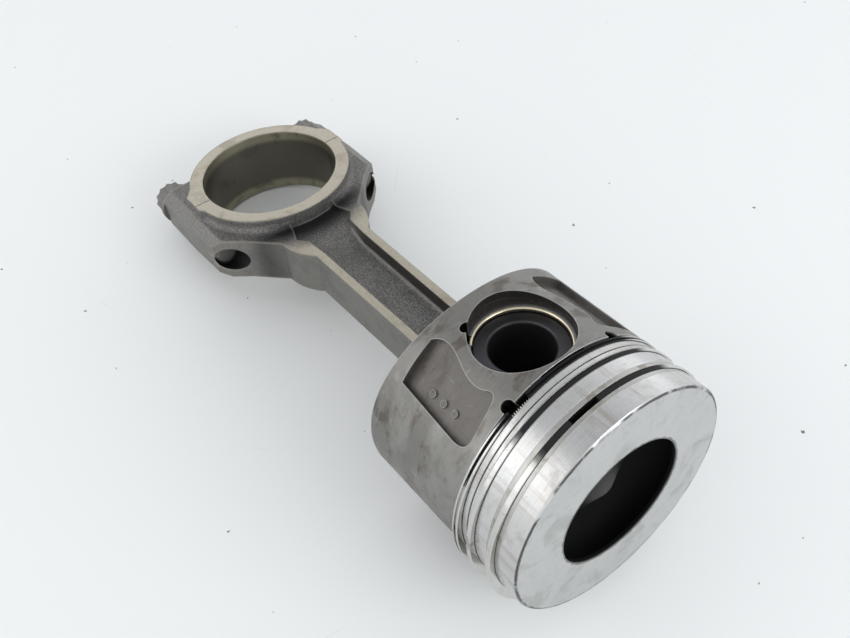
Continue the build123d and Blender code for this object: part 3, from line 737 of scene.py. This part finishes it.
# ---------------------------------------------------------------- wrist pin and circlips
# A hollow case-hardened pin, ground on the outside, near black in the bore. Round wire
# circlips at both ends keep it in; they have the straw colour of tempered wire.
pin_face = (0.075, 0.075, 0.080, 1.0)
pin_film = (0.06, 0.055, 0.055, 1.0)
pin_bore_black = (0.012, 0.012, 0.013, 1.0)
pin_outside = (0.52, 0.52, 0.51, 1.0)
pin_edge = (0.30, 0.30, 0.31, 1.0)
pin_bore_radius = (10.5, 10.3)
pin_outside_radius = (14.6, 14.9)
clip_straw = (0.72, 0.63, 0.46, 1.0)
clip_dark = (0.24, 0.19, 0.13, 1.0)


def pin_finish():
    """Ground steel outside, dull dark ends, and a black bore."""
    finish, tree, shader, place = start_finish("pin steel")
    bore = distance_from(tree, place, (0, 0, 0), (1, 1, 0))
    edge = use_group(tree, worn_edge, width=0.0006)
    black = rise(tree, bore, *pin_bore_radius)
    outside = rise(tree, bore, *pin_outside_radius)
    film = stained(tree, place, size=5.0, cover=0.5)
    colour = coats(tree, pin_face,
                   (film, 0.5, pin_film),
                   (outside, 1, pin_outside),
                   (black, 1, pin_bore_black),
                   (edge["Mask"], 0.35, pin_edge))
    marks = tool_marks(tree, bore, pitch=0.3, vector=place)
    height = blend_value(tree, black, marks, grained(tree, place, size=0.5)["Height"])
    end_rough, ground_rough, bore_rough = 0.42, 0.18, 0.62
    roughness = coats(tree, end_rough, (outside, 1, ground_rough), (black, 1, bore_rough),
                      blend=blend_value)
    steel_metal, bore_metal = 1.0, 0.2
    metallic = blend_value(tree, black, steel_metal, bore_metal)
    surface(tree, shader, colour, roughness, metallic, height, depth=0.00003,
            normal=edge["Normal"])
    return finish


dress("wrist_pin", pin_finish())
clip_finish = wire_finish("circlip wire", clip_dark, clip_straw, roughness=0.22, cover=0.22)
dress("circlip_upper", clip_finish)
dress("circlip_lower", clip_finish)

# ---------------------------------------------------------------- connecting rod and cap
# Drop-forged steel, left with its grainy dark skin. The flange tops, thrust faces and bore are
# machined; the cap was cracked off the rod, so the split shows as a fine line.
rod_skin = (0.130, 0.125, 0.121, 1.0)
rod_skin_pale = (0.275, 0.264, 0.253, 1.0)
rod_side = (0.235, 0.228, 0.208, 1.0)
rod_tan = (0.44, 0.405, 0.33, 1.0)
rod_tan_dark = (0.29, 0.255, 0.195, 1.0)
bore_brown = (0.135, 0.125, 0.102, 1.0)
bore_olive = (0.33, 0.310, 0.225, 1.0)
bore_dirt = (0.10, 0.09, 0.075, 1.0)
bore_smudge = (0.030, 0.027, 0.024, 1.0)
# The black below is oil and painted shade in the thrust face's foot, and painted shade in the
# trough and the bolt holes.
shade_and_oil_black = (0.007, 0.007, 0.009, 1.0)
big_end = (-157.0, 0.0, 0.0)
bolt_offset = 33.4

# Borders between finishes, in millimetres, as on the piston. Levels are above or below the rod's
# middle plane, widths to either side of its length, radii from the big end's centre or a bolt's.
thrust_level = (13.95, 14.1)
flange_level = (9.0, 9.12)
band_level = (9.0, 11.5)
shank_radius = (40.0, 52.0)
housing_radius = (27.82, 27.75)
flank_radius = (34.0, 36.0)
foot_outer_radius = (46.0, 36.0)
foot_inner_radius = (33.0, 33.6)
foot_length = (-131.0, -123.0)
bolt_hole_radius = (5.5, 5.3)
bolt_hole_width = (38.4, 38.2)
trough_width = (9.4, 8.6)
crack_width = (0.22, 0.08)
level_face = (0.75, 0.95)
steep_face = (0.7, 0.4)
sparkle_height = (0.42, 0.60)


def rod_finish():
    """Forged skin, with machined zones found by height above the rod's plane and by radius."""
    finish, tree, shader, place = start_finish("forged rod steel")
    axes = add_node(tree, "ShaderNodeSeparateXYZ", {"Vector": place}).outputs
    level = calculate(tree, "ABSOLUTE", axes["Z"])
    across = calculate(tree, "ABSOLUTE", axes["Y"])
    from_bore = distance_from(tree, place, big_end, (1, 1, 0))
    beside_bolt = add_node(tree, "ShaderNodeCombineXYZ", {"Y": across, "Z": axes["Z"]}).outputs[0]
    from_bolt = distance_from(tree, beside_bolt, (0, bolt_offset, 0), (0, 1, 1))
    from_split = distance_from(tree, place, big_end, (1, 0, 0))
    upright = add_node(tree, "ShaderNodeNewGeometry").outputs["Normal"]
    tilt = {0: upright, 1: tuple(pin_axis)}
    tilt = add_node(tree, "ShaderNodeVectorMath", tilt, operation="DOT_PRODUCT").outputs["Value"]
    flatness = calculate(tree, "ABSOLUTE", tilt)
    edge = use_group(tree, worn_edge, width=0.0012)
    fine = grained(tree, place, size=0.5)
    coarse = grained(tree, place, size=1.6)

    # Zones
    facing = rise(tree, flatness, *level_face)
    thrust = times(tree, rise(tree, level, *thrust_level), facing)
    shank = rise(tree, from_bore, *shank_radius)
    flange = times(tree, rise(tree, level, *flange_level), facing, shank)
    housing = rise(tree, from_bore, *housing_radius)
    side = times(tree, opposite(tree, facing), rise(tree, from_bore, *flank_radius))
    # Painted shade: the inside of each bolt hole is blackened as shade.
    shaded_bolt_hole = times(tree, rise(tree, from_bolt, *bolt_hole_radius),
                      rise(tree, across, *bolt_hole_width))
    # Oil and painted shade: the hollow foot beside the thrust face.
    oily_shaded_foot = times(tree, rise(tree, from_bore, *foot_outer_radius),
                 rise(tree, from_bore, *foot_inner_radius), rise(tree, axes["X"], *foot_length))
    # Painted shade: the steep inner walls of the shank's trough.
    shaded_trough = times(tree, rise(tree, flatness, *steep_face), rise(tree, across, *trough_width),
                   shank)
    crack = times(tree, rise(tree, from_split, *crack_width), opposite(tree, housing))

    # Forged skin. The hollow foot of the thrust face is painted nearly black, partly as oil and
    # partly as painted shade; the trough's inner walls and the bolt holes get painted shade in
    # black
    sparkle = rise(tree, fine["Height"], *sparkle_height)
    oily = stained(tree, place, size=11.0, cover=0.5)
    spots = stained(tree, place, size=1.6, cover=0.45)
    skin = coats(tree, rod_skin,
                 (sparkle, 1, rod_skin_pale),
                 (side, 0.62, rod_side),
                 (oily, 0.35, rod_skin),
                 (oily_shaded_foot, 0.92, shade_and_oil_black),
                 (shaded_trough, 0.6, shade_and_oil_black),
                 (edge["Mask"], 0.4, rod_tan))

    # Machined faces, and the bore: brown film where the shells sat, olive bands at both edges
    machined = coats(tree, rod_tan,
                     (oily, 0.55, rod_tan_dark),
                     (spots, 0.25, rod_tan_dark),
                     (times(tree, opposite(tree, sparkle), flange), 0.35, rod_tan_dark))
    film = coats(tree, bore_brown,
                 (rise(tree, level, *band_level), 1, bore_olive),
                 (stained(tree, place, size=8.0, cover=0.42), 0.6, bore_dirt),
                 (stained(tree, place, size=4.0, cover=0.18), 0.85, bore_smudge))
    colour = coats(tree, skin,
                   (calculate(tree, "MAXIMUM", thrust, flange), 1, machined),
                   (housing, 1, film),
                   (shaded_bolt_hole, 0.9, shade_and_oil_black),
                   (crack, 0.85, bore_smudge))

    smoothest_rough, roughest_rough = 0.38, 0.62
    flange_rough, thrust_rough, bore_rough = 0.36, 0.27, 0.30
    roughness = blend_value(tree, fine["Mottle"], smoothest_rough, roughest_rough)
    roughness = coats(tree, roughness,
                      (flange, 1, flange_rough),
                      (thrust, 1, thrust_rough),
                      (housing, 1, bore_rough), blend=blend_value)

    lump_relief, flat_relief, ground_relief = 1.2, 0.5, 0.08
    height = calculate(tree, "MULTIPLY_ADD", coarse["Height"], lump_relief, fine["Height"])
    smooth = calculate(tree, "MAXIMUM", thrust, housing)
    ground = tool_marks(tree, from_bore, pitch=0.25, vector=place)
    height = coats(tree, height,
                   (flange, 0.8, flat_relief),
                   (side, 0.5, flat_relief),
                   (smooth, 1, times(tree, ground, ground_relief)), blend=blend_value)
    metallic = 0.85
    surface(tree, shader, colour, roughness, metallic, height, depth=0.00030,
            normal=edge["Normal"])
    return finish


forged = rod_finish()
dress("connecting_rod", forged)
dress("rod_cap", forged)

# ---------------------------------------------------------------- small end bush
# A thin bronze bush, pressed into the rod's small end and honed to the wrist pin. It is out of
# sight between the piston's bosses, except from below.
bronze = (0.62, 0.40, 0.20, 1.0)
bronze_dark = (0.30, 0.17, 0.08, 1.0)
dress("small_end_bush", turned_finish("bronze", bronze, bronze_dark, roughness=0.28, cover=0.5))

# ---------------------------------------------------------------- cap bolts
# Twelve-point flanged bolts that hold the cap to the rod, with a dull grey phosphate coat, rubbed
# bright on their points.
bolt_coat = (0.150, 0.142, 0.135, 1.0)
bolt_bright = (0.36, 0.34, 0.31, 1.0)


def bolt_finish():
    """Grey phosphate with a fine grain and rubbed corners."""
    finish, tree, shader, place = start_finish("bolt phosphate")
    edge = use_group(tree, worn_edge, width=0.0006)
    skin = grained(tree, place, size=0.3)
    colour = coats(tree, bolt_coat,
                   (skin["Mottle"], 0.6, rod_skin_pale),
                   (edge["Mask"], 0.6, bolt_bright))
    roughness, metallic = 0.48, 0.8
    surface(tree, shader, colour, roughness, metallic, skin["Height"], depth=0.00005,
            normal=edge["Normal"])
    return finish


phosphate = bolt_finish()
dress("cap_bolt_left", phosphate)
dress("cap_bolt_right", phosphate)
